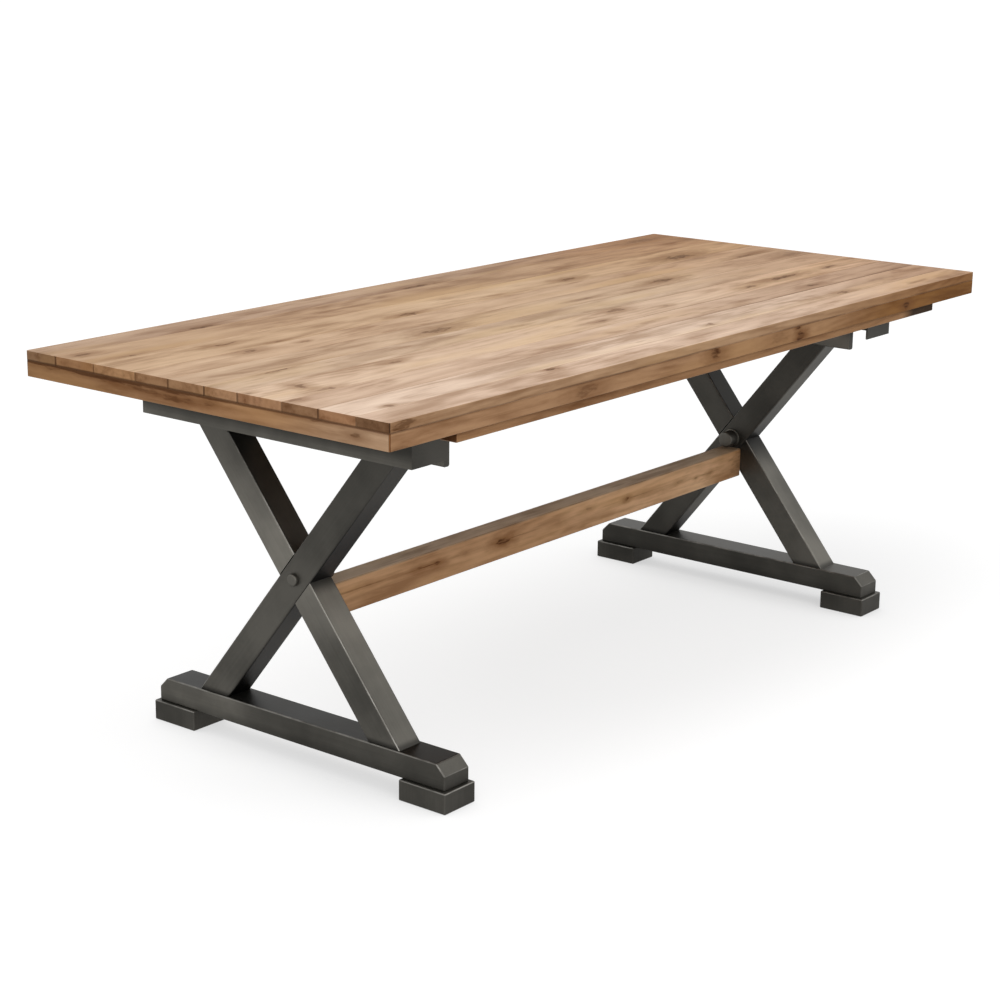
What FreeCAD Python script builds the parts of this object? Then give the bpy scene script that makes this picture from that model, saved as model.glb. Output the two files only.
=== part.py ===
import FreeCAD, Part
import os
from math import atan2, cos, degrees, pi, sin, sqrt

# Sawbuck table in millimetres: +X along the table, +Y to its back, +Z up.
# The origin is on the floor under the middle of the top.

# Table as a whole
TABLE_LENGTH = 2000.0
TABLE_HEIGHT = 760.0
END_OVERHANG = 265.0        # from the end of the top to the middle of a trestle

# Planks of the top, from the back edge to the front edge
PLANK_WIDTHS = (82.0, 101.0, 107.0, 82.0, 88.0, 79.0, 102.0, 81.0, 82.0, 71.5)
PLANK_THICKNESS = 18.0
PLANK_GAP = 0.5
TOP_CORNER_RADIUS = 5.0     # upright corners of the top
PLANK_ARRIS = 1.4           # eased edges of the planks and of the frame under them

# Frame and bearers under the planks
FRAME_THICKNESS = 30.0
FRAME_BOARD_WIDTH = 90.0
TIMBER_GAP = 0.3            # glue line between boards that meet side on
BEARER_MARGIN = 10.0        # bearer past each side of the rail that it carries
CENTER_BEARER_WIDTH = 100.0

# Battens under the long sides
BATTEN_DEPTH = 18.0
BATTEN_WIDTH = 36.0
BATTEN_INSET = 8.0          # back from the edge of the top
BATTEN_OVERRUN = 5.0        # past the outer face of each rail
BATTEN_ARRIS = 1.5

# Legs: square steel tube
LEG_SIZE = 60.0
LEG_WALL = 3.0
LEG_CORNER_RADIUS = 4.0
LEG_FOOT_SPREAD = 216.0     # leg centre from the middle, on top of the foot beam
LEG_TOP_SPREAD = 280.0      # leg centre from the middle, under the web of the rail

# Top rail: folded angle with an apron on its outer side, and a bar that the legs stand against
RAIL_WIDTH = 130.0
RAIL_DEPTH = 82.0
RAIL_WALL = 4.0
RAIL_BEND_RADIUS = 2.0      # inside of the fold
RAIL_END_ROOM = 8.0         # from the top corner of a leg to the end plate
PLATE_THICKNESS = 4.0
PLATE_WIDTH = 94.0
BAR_THICKNESS = 15.0
BAR_DROP = 22.0             # bar below the edge of the apron
BAR_SETBACK = 26.0          # bar short of each end of the rail
BAR_ARRIS = 2.5

# Foot beam and foot blocks
BEAM_LENGTH = 726.0
BEAM_WIDTH = 68.0
BEAM_HEIGHT = 48.0
BEAM_WALL = 3.0
BEAM_CLIP = 20.0            # top ends cut off at 45 degrees
BEAM_EDGE_RADIUS = 2.5
BLOCK_LENGTH = 109.0
BLOCK_HEIGHT = 40.0
BLOCK_REVEAL = 8.0          # block past the sides and the end of the beam
BLOCK_ARRIS = 2.5

# Bolt through each cross
BOLT_RADIUS = 6.0
BOLT_CLEARANCE = 0.3
BOLT_HEAD_RADIUS = 12.0
BOLT_HEAD_HEIGHT = 8.0
BOLT_HEAD_ROUND = 7.2
WASHER_RADIUS = 21.0
WASHER_THICKNESS = 4.0
NUT_RADIUS = 18.0
NUT_LENGTH = 27.0
NUT_END_WALL = 5.0
NUT_ARRIS = 3.0

# Stretcher, and the spigots that carry it
STRETCHER_WIDTH = 48.0
STRETCHER_HEIGHT = 65.0
STRETCHER_ARRIS = 2.0
STRETCHER_DROP = 2.0        # from the washer down to the stretcher
SPIGOT_LENGTH = 60.0
SPIGOT_WIDTH = 24.0
SPIGOT_HEIGHT = 18.0
SPIGOT_DROP = 4.0           # from the top of the stretcher down to the spigot
MORTISE_CLEARANCE = 0.3

# Screws
SCREW_RADIUS = 3.0
SCREW_CLEARANCE = 0.3
SCREW_HEAD_RADIUS = 6.0     # to the corners of the hexagon
SCREW_HEAD_SIDES = 6
SCREW_HEAD_HEIGHT = 3.5
RAIL_SCREW_BITE = 22.0      # length in the bearer
RAIL_SCREW_SPREAD = 190.0   # from the middle of the rail
RAIL_SCREW_ROW_SPACING = 66.0
STRETCHER_SCREW_PITCH = 25.0
STRETCHER_SCREW_RECESS = 6.0

# Levels
plank_level = TABLE_HEIGHT - PLANK_THICKNESS
frame_level = plank_level - FRAME_THICKNESS
web_level = frame_level - RAIL_WALL
rail_level = frame_level - RAIL_DEPTH
beam_level = BLOCK_HEIGHT + BEAM_HEIGHT

# Plan sizes
table_width = sum(PLANK_WIDTHS) + PLANK_GAP * (len(PLANK_WIDTHS) - 1)
half_length = TABLE_LENGTH / 2
half_width = table_width / 2
trestle_x = half_length - END_OVERHANG
leg_inner_x = trestle_x - LEG_SIZE / 2
leg_outer_x = trestle_x + LEG_SIZE / 2

# Lean of the legs, and the height at which they cross
leg_rise = web_level - beam_level
leg_lean = atan2(LEG_FOOT_SPREAD + LEG_TOP_SPREAD, leg_rise)
cross_level = beam_level + leg_rise * LEG_FOOT_SPREAD / (LEG_FOOT_SPREAD + LEG_TOP_SPREAD)
leg_length = leg_rise / cos(leg_lean)
leg_half_cut = LEG_SIZE / 2 / cos(leg_lean)
leg_reach = max(LEG_FOOT_SPREAD, LEG_TOP_SPREAD) + leg_half_cut

# Rail
rail_inner_x = leg_inner_x - BAR_THICKNESS
rail_outer_x = rail_inner_x + RAIL_WIDTH
rail_middle_x = rail_inner_x + RAIL_WIDTH / 2
rail_half_length = LEG_TOP_SPREAD + leg_half_cut + RAIL_END_ROOM + PLATE_THICKNESS

# Stretcher
stretcher_top = cross_level - WASHER_RADIUS - STRETCHER_DROP
stretcher_bottom = stretcher_top - STRETCHER_HEIGHT
spigot_top = stretcher_top - SPIGOT_DROP
spigot_bottom = spigot_top - SPIGOT_HEIGHT

ALONG_X = FreeCAD.Vector(1, 0, 0)
ALONG_Y = FreeCAD.Vector(0, 1, 0)
ALONG_Z = FreeCAD.Vector(0, 0, 1)
SAME = 0.01                 # distance within which two places count as one


def block(x_span, y_span, z_span):
    """A box between the two values of each span."""
    low = FreeCAD.Vector(x_span[0], y_span[0], z_span[0])
    return Part.makeBox(x_span[1] - x_span[0], y_span[1] - y_span[0], z_span[1] - z_span[0], low)


def prism(corners, direction):
    """A solid swept from a flat polygon along a straight direction."""
    return Part.Face(Part.makePolygon(corners + [corners[0]])).extrude(direction)


def edges_along(shape, direction):
    """The straight edges that run along a direction."""
    def slant(edge):
        return edge.tangentAt(edge.FirstParameter).cross(direction).Length

    straight = [edge for edge in shape.Edges if isinstance(edge.Curve, Part.Line)]
    return [edge for edge in straight if slant(edge) < SAME]


def edges_at_level(shape, level):
    """The edges that lie flat at one height."""
    def off_level(edge):
        return max(abs(edge.BoundBox.ZMin - level), abs(edge.BoundBox.ZMax - level))

    return [edge for edge in shape.Edges if off_level(edge) < SAME]


def is_on_outline(edge):
    """Whether an edge lies on the outside of the top, its rounded corners included."""
    middle = edge.valueAt((edge.FirstParameter + edge.LastParameter) / 2)
    past_x = max(abs(middle.x) - half_length + TOP_CORNER_RADIUS, 0)
    past_y = max(abs(middle.y) - half_width + TOP_CORNER_RADIUS, 0)
    return abs(sqrt(past_x ** 2 + past_y ** 2) - TOP_CORNER_RADIUS) < SAME


def top_outline(low, high):
    """The slab within which all boards of the top lie, with rounded upright corners."""
    slab = block((-half_length, half_length), (-half_width, half_width), (low, high))
    return slab.makeFillet(TOP_CORNER_RADIUS, edges_along(slab, ALONG_Z))


def mirrored(shape):
    """The same piece on the left trestle."""
    return shape.mirror(FreeCAD.Vector(), ALONG_X)


def touches_round_corner(edge):
    """Whether an upright edge is only the seam between a flat side and a rounded corner."""
    place = edge.CenterOfMass
    near_end = abs(place.x) > half_length - TOP_CORNER_RADIUS - SAME
    return near_end and abs(place.y) > half_width - TOP_CORNER_RADIUS - SAME


def planks():
    """Boards of the top, with eased edges that leave a fine groove at each seam."""
    boards = {}
    outline = top_outline(plank_level, TABLE_HEIGHT)
    back = half_width
    for number, width in enumerate(PLANK_WIDTHS, start=1):
        front = back - width
        board = block((-half_length, half_length), (front, back), (plank_level, TABLE_HEIGHT)).common(outline)
        eased = edges_at_level(board, TABLE_HEIGHT) + edges_at_level(board, plank_level)
        eased += [edge for edge in edges_along(board, ALONG_Z) if not touches_round_corner(edge)]
        boards[f"top_plank_{number:02d}"] = board.makeChamfer(PLANK_ARRIS, eased)
        back = front - PLANK_GAP
    return boards


def frame_boards():
    """Four boards under the planks, mitred at the corners."""
    outline = top_outline(frame_level, plank_level)
    glue = TIMBER_GAP / sqrt(2)

    def mitred(half_run, half_across):
        outer = half_run - glue
        inner = half_run - FRAME_BOARD_WIDTH - glue
        edge = half_across - FRAME_BOARD_WIDTH
        return [(-outer, -half_across), (outer, -half_across), (inner, -edge), (-inner, -edge)]

    def board(corners):
        flat = [FreeCAD.Vector(x, y, frame_level) for x, y in corners]
        solid = prism(flat, ALONG_Z * FRAME_THICKNESS).common(outline)
        edges = edges_at_level(solid, frame_level) + edges_at_level(solid, plank_level)
        return solid.makeChamfer(PLANK_ARRIS, [edge for edge in edges if is_on_outline(edge)])

    front = board(mitred(half_length, half_width))
    left = board([(y, x) for x, y in mitred(half_width, half_length)])
    return {
        "long_frame_front": front,
        "long_frame_back": front.mirror(FreeCAD.Vector(), ALONG_Y),
        "end_frame_left": left,
        "end_frame_right": mirrored(left),
    }


def screw_places():
    """Places of the rail screws on the right trestle."""
    rows = (rail_middle_x - RAIL_SCREW_ROW_SPACING / 2, rail_middle_x + RAIL_SCREW_ROW_SPACING / 2)
    return [(x, y) for x in rows for y in (-RAIL_SCREW_SPREAD, RAIL_SCREW_SPREAD)]


def cross_bearers():
    """Boards inside the frame, under the planks, that the rails are screwed to."""
    half_span = half_width - FRAME_BOARD_WIDTH - TIMBER_GAP
    across = (-half_span, half_span)
    levels = (frame_level, plank_level)
    right = block((rail_inner_x - BEARER_MARGIN, rail_outer_x + BEARER_MARGIN), across, levels)
    for x, y in screw_places():
        mouth = FreeCAD.Vector(x, y, frame_level)
        depth = RAIL_SCREW_BITE + SCREW_CLEARANCE
        right = right.cut(Part.makeCylinder(SCREW_RADIUS + SCREW_CLEARANCE, depth, mouth))
    center = block((-CENTER_BEARER_WIDTH / 2, CENTER_BEARER_WIDTH / 2), across, levels)
    return {"cross_bearer_left": mirrored(right), "cross_bearer_center": center, "cross_bearer_right": right}


def edge_battens():
    """Battens under the long sides, set back from the edge."""
    reach = rail_outer_x + BATTEN_OVERRUN
    outer = -half_width + BATTEN_INSET
    front = block((-reach, reach), (outer, outer + BATTEN_WIDTH), (frame_level - BATTEN_DEPTH, frame_level))
    front = front.makeChamfer(BATTEN_ARRIS, edges_at_level(front, frame_level - BATTEN_DEPTH))
    return {"edge_batten_front": front, "edge_batten_back": front.mirror(FreeCAD.Vector(), ALONG_Y)}


def fold_edge(shape):
    """The upper outer edge that runs along a rail."""
    return max(edges_along(shape, ALONG_Y), key=lambda edge: edge.CenterOfMass.x + edge.CenterOfMass.z)


def angle_rail():
    """Folded angle under the top, drilled for the screws into the bearer."""
    along = (-rail_half_length, rail_half_length)
    outside = block((rail_inner_x, rail_outer_x), along, (rail_level, frame_level))
    outside = outside.makeFillet(RAIL_BEND_RADIUS + RAIL_WALL, [fold_edge(outside)])
    inside = block((rail_inner_x, rail_outer_x - RAIL_WALL), along, (rail_level, web_level))
    angle = outside.cut(inside.makeFillet(RAIL_BEND_RADIUS, [fold_edge(inside)]))
    for x, y in screw_places():
        mouth = FreeCAD.Vector(x, y, web_level)
        angle = angle.cut(Part.makeCylinder(SCREW_RADIUS + SCREW_CLEARANCE, RAIL_WALL, mouth))
    return angle


def leg_bar():
    """Flat bar under the angle, deeper than its apron, that both legs stand against."""
    half = rail_half_length - BAR_SETBACK
    bar = block((rail_inner_x, leg_inner_x), (-half, half), (rail_level - BAR_DROP, web_level))
    return bar.makeChamfer(BAR_ARRIS, edges_along(bar, ALONG_Y))


def rail_end_plate():
    """Plate inside the front end of the angle, that closes it."""
    outer = rail_outer_x - RAIL_WALL
    across = (-rail_half_length, PLATE_THICKNESS - rail_half_length)
    plate = block((outer - PLATE_WIDTH, outer), across, (rail_level, web_level))
    return plate.makeChamfer(RAIL_BEND_RADIUS, [fold_edge(plate)])


def square_bar(size, lean):
    """A square bar through the crossing point, leaning by an angle and longer than any leg."""
    bar = block((-size / 2, size / 2), (-size / 2, size / 2), (-leg_length, leg_length))
    cross = FreeCAD.Vector(trestle_x, 0, cross_level)
    bar.Placement = FreeCAD.Placement(cross, FreeCAD.Rotation(ALONG_X, degrees(lean)))
    return bar


def leg_tube(lean):
    """Square tube cut level at the foot beam and at the rail."""
    bar = square_bar(LEG_SIZE, lean)
    tube = bar.makeFillet(LEG_CORNER_RADIUS, edges_along(bar, FreeCAD.Vector(0, -sin(lean), cos(lean))))
    tube = tube.cut(square_bar(LEG_SIZE - 2 * LEG_WALL, lean))
    return tube.common(block((leg_inner_x, leg_outer_x), (-leg_reach, leg_reach), (beam_level, web_level)))


def legs():
    """One continuous leg, and two half legs butted on its sides."""
    bolt_hole = Part.makeCylinder(
        BOLT_RADIUS + BOLT_CLEARANCE, LEG_SIZE, FreeCAD.Vector(leg_inner_x, 0, cross_level), ALONG_X
    )
    halves = leg_tube(-leg_lean).cut(square_bar(LEG_SIZE, leg_lean)).Solids
    lower, upper = sorted(halves, key=lambda half: half.CenterOfMass.z)
    return {"leg_long": leg_tube(leg_lean).cut(bolt_hole), "leg_upper": upper, "leg_lower": lower}


def clipped_bar(length, width, clip):
    """A bar on the foot blocks with its top ends cut off at 45 degrees."""
    end = length / 2
    side = trestle_x - width / 2
    profile = [
        (-end, BLOCK_HEIGHT),
        (end, BLOCK_HEIGHT),
        (end, beam_level - clip),
        (end - clip, beam_level),
        (clip - end, beam_level),
        (-end, beam_level - clip),
    ]
    return prism([FreeCAD.Vector(side, y, z) for y, z in profile], ALONG_X * width)


def foot_beam():
    """Hollow beam with clipped ends, and the bent plates that close them."""
    outside = clipped_bar(BEAM_LENGTH, BEAM_WIDTH, BEAM_CLIP)
    crosswise = edges_along(outside, ALONG_X)
    rims = [edge for edge in outside.Edges if not any(edge.isSame(other) for other in crosswise)]
    half_bore = BEAM_WIDTH / 2 - BEAM_WALL
    bore = block(
        (trestle_x - half_bore, trestle_x + half_bore),
        (-BEAM_LENGTH / 2, BEAM_LENGTH / 2),
        (BLOCK_HEIGHT + BEAM_WALL, beam_level - BEAM_WALL),
    )
    room = clipped_bar(BEAM_LENGTH - 2 * BEAM_WALL, BEAM_WIDTH, BEAM_CLIP + BEAM_WALL * (sqrt(2) - 1))
    caps = bore.common(outside).cut(room).Solids
    front, back = sorted(caps, key=lambda cap: cap.CenterOfMass.y)
    beam = outside.makeFillet(BEAM_EDGE_RADIUS, rims).cut(bore)
    return {"foot_beam": beam, "beam_end_front": front, "beam_end_back": back}


def foot_block():
    """Block under the front end of a foot beam."""
    half = BEAM_WIDTH / 2 + BLOCK_REVEAL
    tip = -BEAM_LENGTH / 2 - BLOCK_REVEAL
    solid = block((trestle_x - half, trestle_x + half), (tip, tip + BLOCK_LENGTH), (0, BLOCK_HEIGHT))
    return solid.makeChamfer(BLOCK_ARRIS, solid.Edges)


def rims_around(shape, point):
    """The round edges with their middle at a point."""
    return [edge for edge in shape.Edges if edge.CenterOfMass.distanceToPoint(point) < SAME]


def eased_disc(radius, thickness, start, axis, arris):
    """A disc that grows from start along an axis, with its far rim chamfered."""
    disc = Part.makeCylinder(radius, thickness, start, axis)
    return disc.makeChamfer(arris, rims_around(disc, start + axis * thickness))


def domed_disc(radius, thickness, start, axis, edge_radius):
    """A disc that grows from start along an axis, with its far rim rounded."""
    disc = Part.makeCylinder(radius, thickness, start, axis)
    return disc.makeFillet(edge_radius, rims_around(disc, start + axis * thickness))


def cross_bolt():
    """Round-headed bolt through the cross, with its washer and closed nut on the inner side."""
    outer = FreeCAD.Vector(leg_outer_x, 0, cross_level)
    inner = FreeCAD.Vector(leg_inner_x, 0, cross_level)
    seat = inner - ALONG_X * WASHER_THICKNESS
    shank_length = LEG_SIZE + WASHER_THICKNESS + NUT_LENGTH - NUT_END_WALL - BOLT_CLEARANCE
    head = domed_disc(BOLT_HEAD_RADIUS, BOLT_HEAD_HEIGHT, outer, ALONG_X, BOLT_HEAD_ROUND)
    bolt = head.fuse(Part.makeCylinder(BOLT_RADIUS, shank_length, outer, -ALONG_X))
    hole_radius = BOLT_RADIUS + BOLT_CLEARANCE
    washer = Part.makeCylinder(WASHER_RADIUS, WASHER_THICKNESS, inner, -ALONG_X)
    washer = washer.cut(Part.makeCylinder(hole_radius, WASHER_THICKNESS, inner, -ALONG_X))
    nut = eased_disc(NUT_RADIUS, NUT_LENGTH, seat, -ALONG_X, NUT_ARRIS)
    nut = nut.cut(Part.makeCylinder(hole_radius, NUT_LENGTH - NUT_END_WALL, seat, -ALONG_X))
    return {"cross_bolts": bolt.removeSplitter(), "bolt_washers": washer, "bolt_nuts": nut}


def upright_screw(x, y, seat, length):
    """A hexagon-headed screw driven upwards, with the bearing face of its head at a level."""
    start = FreeCAD.Vector(x, y, seat)
    turns = [2 * pi * side / SCREW_HEAD_SIDES for side in range(SCREW_HEAD_SIDES)]
    corners = [start + FreeCAD.Vector(cos(turn), sin(turn), 0) * SCREW_HEAD_RADIUS for turn in turns]
    head = prism(corners, -ALONG_Z * SCREW_HEAD_HEIGHT)
    return head.fuse(Part.makeCylinder(SCREW_RADIUS, length, start)).removeSplitter()


def rail_screws():
    """Screws through the web of the right rail into its bearer."""
    length = RAIL_WALL + RAIL_SCREW_BITE
    return Part.makeCompound([upright_screw(x, y, web_level, length) for x, y in screw_places()])


def stretcher_screw_places():
    """Places along the stretcher of the screws into the right spigot."""
    middle = leg_inner_x - SPIGOT_LENGTH / 2
    return (middle - STRETCHER_SCREW_PITCH / 2, middle + STRETCHER_SCREW_PITCH / 2)


def spigot():
    """Steel bar on the inner side of a cross, drilled for the screws of the stretcher."""
    half = SPIGOT_WIDTH / 2
    bar = block((leg_inner_x - SPIGOT_LENGTH, leg_inner_x), (-half, half), (spigot_bottom, spigot_top))
    for x in stretcher_screw_places():
        mouth = FreeCAD.Vector(x, 0, spigot_bottom)
        bar = bar.cut(Part.makeCylinder(SCREW_RADIUS + SCREW_CLEARANCE, SPIGOT_HEIGHT, mouth))
    return bar


def stretcher():
    """Timber between the crosses, mortised for the spigots and bored from below for their screws."""
    half = STRETCHER_WIDTH / 2
    timber = block((-leg_inner_x, leg_inner_x), (-half, half), (stretcher_bottom, stretcher_top))
    timber = timber.makeChamfer(STRETCHER_ARRIS, edges_along(timber, ALONG_X))
    half_slot = SPIGOT_WIDTH / 2 + MORTISE_CLEARANCE
    removed = [block(
        (leg_inner_x - SPIGOT_LENGTH - MORTISE_CLEARANCE, leg_inner_x),
        (-half_slot, half_slot),
        (spigot_bottom - MORTISE_CLEARANCE, spigot_top + MORTISE_CLEARANCE),
    )]
    hole_depth = spigot_bottom - stretcher_bottom
    for x in stretcher_screw_places():
        mouth = FreeCAD.Vector(x, 0, stretcher_bottom)
        removed.append(Part.makeCylinder(SCREW_RADIUS + SCREW_CLEARANCE, hole_depth, mouth))
        removed.append(Part.makeCylinder(SCREW_HEAD_RADIUS + SCREW_CLEARANCE, STRETCHER_SCREW_RECESS, mouth))
    return timber.cut(removed + [mirrored(tool) for tool in removed])


def stretcher_screws():
    """Screws from below the stretcher into the right spigot."""
    seat = stretcher_bottom + STRETCHER_SCREW_RECESS
    length = spigot_top - seat
    return Part.makeCompound([upright_screw(x, 0, seat, length) for x in stretcher_screw_places()])


def right_trestle():
    """All pieces of the right trestle."""
    plate = rail_end_plate()
    foot = foot_block()
    pieces = {
        "top_rail": angle_rail(),
        "leg_bar": leg_bar(),
        "rail_plate_front": plate,
        "rail_plate_back": plate.mirror(FreeCAD.Vector(), ALONG_Y),
        "foot_block_front": foot,
        "foot_block_back": foot.mirror(FreeCAD.Vector(), ALONG_Y),
        "stretcher_spigot": spigot(),
    }
    return pieces | legs() | foot_beam()


def table():
    """Every piece of the table by its name, with fasteners of one kind as one group."""
    pieces = planks() | frame_boards() | cross_bearers() | edge_battens()
    pieces["stretcher"] = stretcher()
    for name, shape in right_trestle().items():
        pieces[f"{name}_right"] = shape
        pieces[f"{name}_left"] = mirrored(shape)
    fasteners = cross_bolt() | {"rail_screws": rail_screws(), "stretcher_screws": stretcher_screws()}
    for name, shape in fasteners.items():
        pieces[name] = Part.makeCompound(shape.Solids + mirrored(shape).Solids)
    return pieces


os.makedirs("parts", exist_ok=True)
for node, piece in table().items():
    piece.exportStep(f"parts/{node}.step")
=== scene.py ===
"""Looks of a sawbuck table: a plank top on two steel cross trestles, dressed on its CAD frame."""

from dataclasses import dataclass
from math import acos, atan2, cos, hypot, pi, radians, sin

import bpy
from mathutils import Matrix, Vector


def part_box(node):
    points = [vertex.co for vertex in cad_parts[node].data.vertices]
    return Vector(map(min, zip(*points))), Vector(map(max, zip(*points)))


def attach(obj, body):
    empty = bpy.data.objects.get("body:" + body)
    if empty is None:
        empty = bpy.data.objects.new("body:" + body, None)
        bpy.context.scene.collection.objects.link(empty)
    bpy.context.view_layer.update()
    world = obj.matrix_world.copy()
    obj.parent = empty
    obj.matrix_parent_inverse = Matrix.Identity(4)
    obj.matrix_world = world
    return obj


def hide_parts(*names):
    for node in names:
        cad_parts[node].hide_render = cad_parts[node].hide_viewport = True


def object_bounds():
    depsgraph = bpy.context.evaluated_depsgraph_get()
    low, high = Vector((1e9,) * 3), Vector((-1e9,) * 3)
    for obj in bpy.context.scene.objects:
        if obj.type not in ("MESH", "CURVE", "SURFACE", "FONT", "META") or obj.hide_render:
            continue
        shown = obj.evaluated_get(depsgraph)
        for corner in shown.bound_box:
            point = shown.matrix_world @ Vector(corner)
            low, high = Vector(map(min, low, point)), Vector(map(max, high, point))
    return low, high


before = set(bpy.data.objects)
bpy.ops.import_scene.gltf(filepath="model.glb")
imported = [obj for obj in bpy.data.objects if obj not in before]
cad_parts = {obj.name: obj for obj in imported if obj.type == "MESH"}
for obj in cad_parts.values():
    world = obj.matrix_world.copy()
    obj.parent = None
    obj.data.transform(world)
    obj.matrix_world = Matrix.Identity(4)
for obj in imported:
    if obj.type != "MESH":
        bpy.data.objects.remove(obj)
cad_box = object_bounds()

bl_info = {
    "name": "Sawbuck table",
    "version": (1, 0, 0),
    "blender": (4, 5, 0),
    "location": "View3D > Sidebar > Sawbuck table",
    "description": "Dresses the frame of a sawbuck table in oiled planks and gunmetal steel",
    "category": "Object",
}

BODY = "root"
SIDES = ("left", "right")
ENDS = ("front", "back")
AXES = "XYZ"
LENGTHWISE, CROSSWISE = "X", "Y"
X_AXIS, Y_AXIS, Z_AXIS = range(3)
WHITE = (1, 1, 1)

# Distances under which two places count as one: on boards and beams, and on turned pieces
NEAR, TOUCHING = 0.001, 0.0001

# Shapes: segments of the roundings, sides of the turned pieces, play round the bolts, the share
# of a nut that is bored, and the glue line of the mitres
EDGE_SEGMENTS, CORNER_SEGMENTS, RIM_SEGMENTS = 3, 4, 5
ROUND_SIDES = 48
BOLT_PLAY = 0.0003
NUT_BORE = 0.6
MITRE_GLUE = 0.0002

# Angles: the least of an edge that is rounded, the same on the clipped foot beams, and the
# greatest that turned pieces smooth over
SHARP_ANGLE, BEAM_SHARP_ANGLE, SMOOTH_ANGLE = radians(40), radians(30), radians(35)

# Worn edges: least turn away from a flat on legs and on feet, and least area of a foot's flat
LEG_WORN_TURN, FOOT_WORN_TURN = radians(18), radians(12)
FOOT_FLAT_AREA = 0.0012

# Dirt: where it ends and where it is full beside the joints of the planks and beside the crack
# between planks and frame, and how far the crack's dirt spills over each of them
SEAM_EDGE, CRACK_EDGE = (0.0028, 0.0008), (0.0034, 0.0004)
PLANK_SPILL, FRAME_SPILL = 0.001, 0.005

# Noises of the timber: how often along and across the grain, a shift, detail and roughness
GRAIN_NOISES = {
    "drift": (1.3, 0.0, 1, 1.0, 0.5),
    "streaks": (7, 140, 2, 3.0, 0.6),
    "figure": (10, 40, 3, 4.0, 0.6),
    "patches": (4, 18, 4, 3.0, 0.5),
    "fibres": (30, 700, 5, 2.0, 0.5),
    "clouds": (5, 26, 6, 4.0, 0.6),
    "wobble": (34, 95, 7, 4.0, 0.5),
    "honey": (1.6, 10, 8, 2.0, 0.5),
    "broad": (1.6, 9, 9, 2.0, 0.5),
    "seams": (4, 4, 11, 2.0, 0.5),
    "flecks": (45, 260, 12, 2.0, 0.5),
}

# Growth rings: how many in a metre, how far the streaks bend them, how far the heart wanders
RINGS_PER_METRE = 75
RING_WAVER = 5.0
HEART_DRIFT_ACROSS, HEART_DRIFT_UP = 0.14, 0.16

# Depth of the planks' hearts: the least, and the step from one depth to the next
HEART_LEAST, HEART_STEP = 0.03, 0.013

# Seeds that keep the grain of the boards apart. The planks take their numbers.
TIMBER_SEEDS = {
    "long_frame_front": 11,
    "long_frame_back": 13,
    "end_frame_left": 14,
    "end_frame_right": 16,
    "edge_batten": 18,
    "cross_bearer": 21,
    "stretcher": 25,
}

# Knots: how ragged they are, how their strength shows in hearts and in clouds, where hearts,
# clouds and pips start and are full, in half sizes, and how deep they go under a top, under
# a side and under the front plank's side
KNOT_RAGGED = (2.2, 2.2, 2.2)
HEART_GAIN, HEART_LOSS, CLOUD_GAIN = 1.9, 0.45, 1.05
HEART_EDGE, CLOUD_EDGE, PIP_EDGE = (0.95, 0.50), (3.2, 0.4), (1.0, 0.5)
TOP_KNOT_DEPTH, SIDE_KNOT_DEPTH, PLANK_SIDE_KNOT_DEPTH = 0.03, 0.02, 0.004

# Brush marks of the steel: width and length
BRUSH_WIDTH, BRUSH_LENGTH = 0.004, 0.30

# Floor: size, the grey that takes shadows, and how much of its white the steel mirrors.
# Its painted shade, a painted shadow under the table: place, half sizes, and steps with a start, an end and
# the brightness at each:
# out of the shade, away from the table, and out of corners, which have a reach and samples and give a
# painted contact shadow.
FLOOR_SIZE = 160
FLOOR_SHADOW = (0.256, 0.256, 0.256)
FLOOR_MIRROR = 0.4
SHADE_PLACE, SHADE_SIZE = (0.28, -0.12, 0), (1.2, 0.5, 1)
SHADE_STEP, AWAY_STEP = (0.3, 1.4, 0.757, 0.885), (1.0, 3.8, 0.0, 0.095)
CORNER_STEP, CORNER_REACH, CORNER_SAMPLES = (0.2, 0.95, 0.72, 1.0), 0.18, 8

# Softboxes: name, size and place. All of them face one point.
SOFTBOXES = (
    ("top", 2.4, (-0.5, -0.4, 3.0)),
    ("left", 1.5, (-2.7, -1.7, 1.8)),
    ("front", 1.5, (1.6, -2.4, 2.3)),
)
LIGHT_TARGET = (-0.2, 0, 0.5)

# Camera: width of its sensor in millimetres, and how far it sees
SENSOR_WIDTH, CLIP_END = 36, 500

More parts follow.
